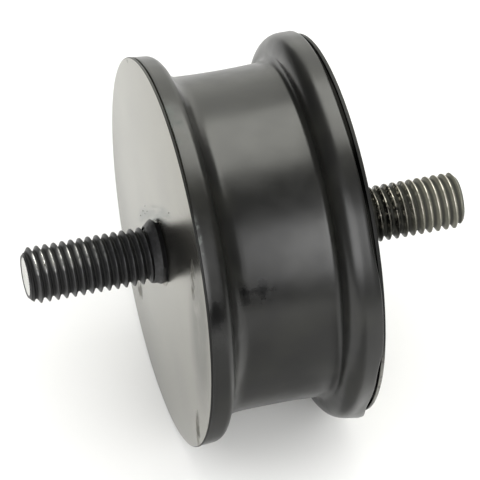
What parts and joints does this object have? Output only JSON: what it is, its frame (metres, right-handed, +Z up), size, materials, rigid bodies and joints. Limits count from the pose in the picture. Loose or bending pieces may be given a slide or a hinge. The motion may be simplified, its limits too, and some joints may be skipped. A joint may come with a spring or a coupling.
{
  "type": "radiator mount",
  "caption": "Round rubber radiator mount: a waisted rubber body bonded between steel end plates, with a threaded stud standing out of each end.",
  "frame": {"origin": "middle of the rubber body on the stud axis, halfway between the outer faces of the plates", "axes": "+X along the stud axis, out of the back stud; the front stud points to -X; +Z up with the mount lying on its flanges"},
  "size_m": [0.0774, 0.068, 0.068],
  "materials": {
    "rubber": "black natural rubber, compression moulded, satin",
    "plate": "mild steel, zinc plated, satin",
    "front_stud": "steel, rolled thread, black phosphated",
    "back_stud": "steel, rolled thread, dulled zinc"
  },
  "bodies": {
    "root": {"rubber_body": "rubber", "front_plate": "plate", "front_stud": "front_stud", "back_plate": "plate", "back_stud": "back_stud"}
  },
  "joints": []
}
